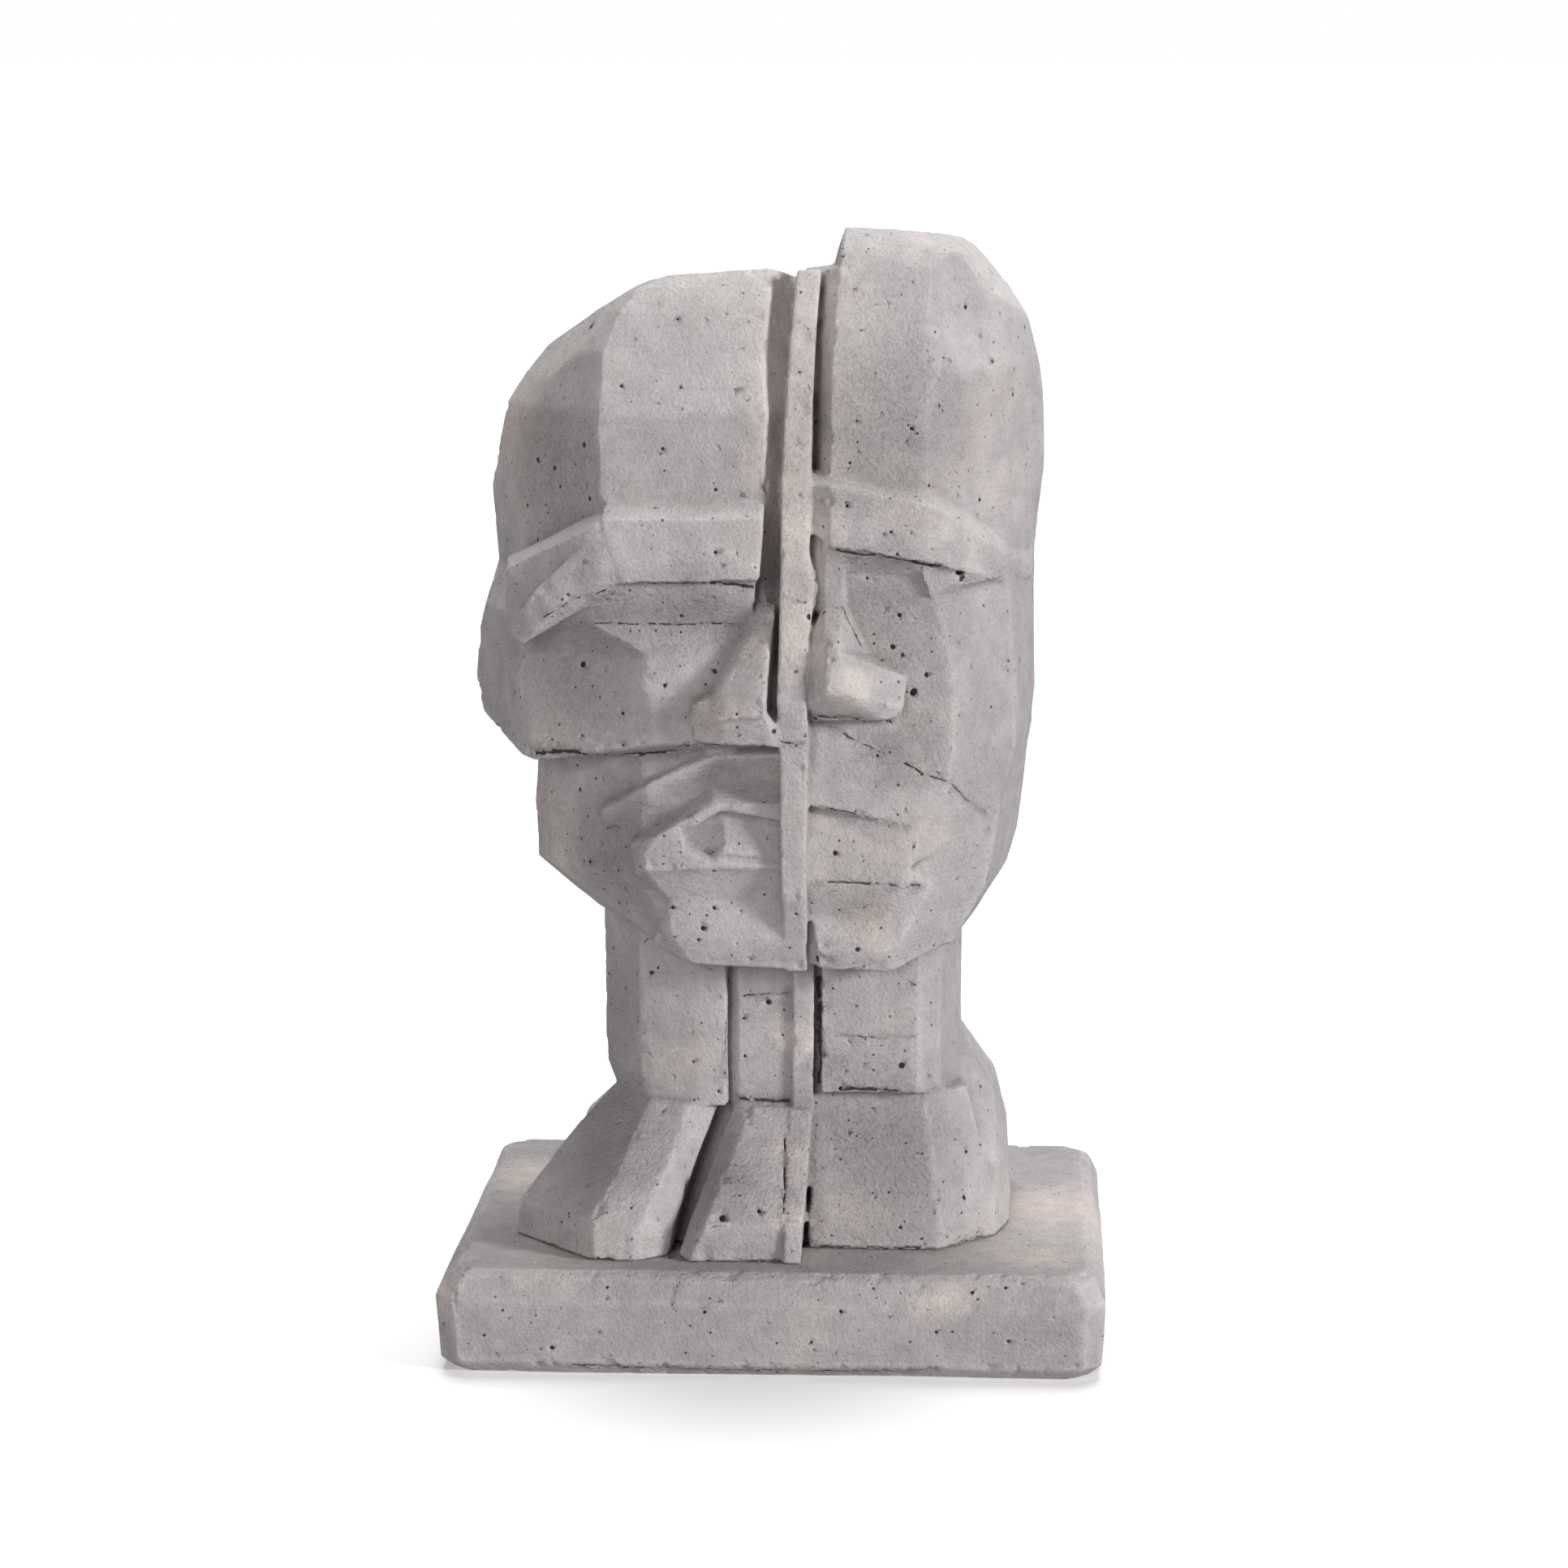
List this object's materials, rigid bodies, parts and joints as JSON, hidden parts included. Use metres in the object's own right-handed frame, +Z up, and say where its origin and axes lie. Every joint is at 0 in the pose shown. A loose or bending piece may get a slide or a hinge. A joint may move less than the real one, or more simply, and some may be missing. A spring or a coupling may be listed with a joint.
{
  "type": "head sculpture",
  "caption": "Faceted concrete head in two mismatched halves with a thin upright fin between them, on a rectangular slab that it stands on.",
  "frame": {"origin": "centre of the slab's underside", "axes": "+Z up, the face looks along -Y, +X to the viewer's right"},
  "size_m": [0.21, 0.18, 0.355],
  "materials": {
    "concrete": "matt, as cast, with small air holes",
    "slab_concrete": "matt, as cast, trowelled top"
  },
  "bodies": {
    "root": {"head": "concrete", "plinth": "slab_concrete"}
  },
  "joints": []
}
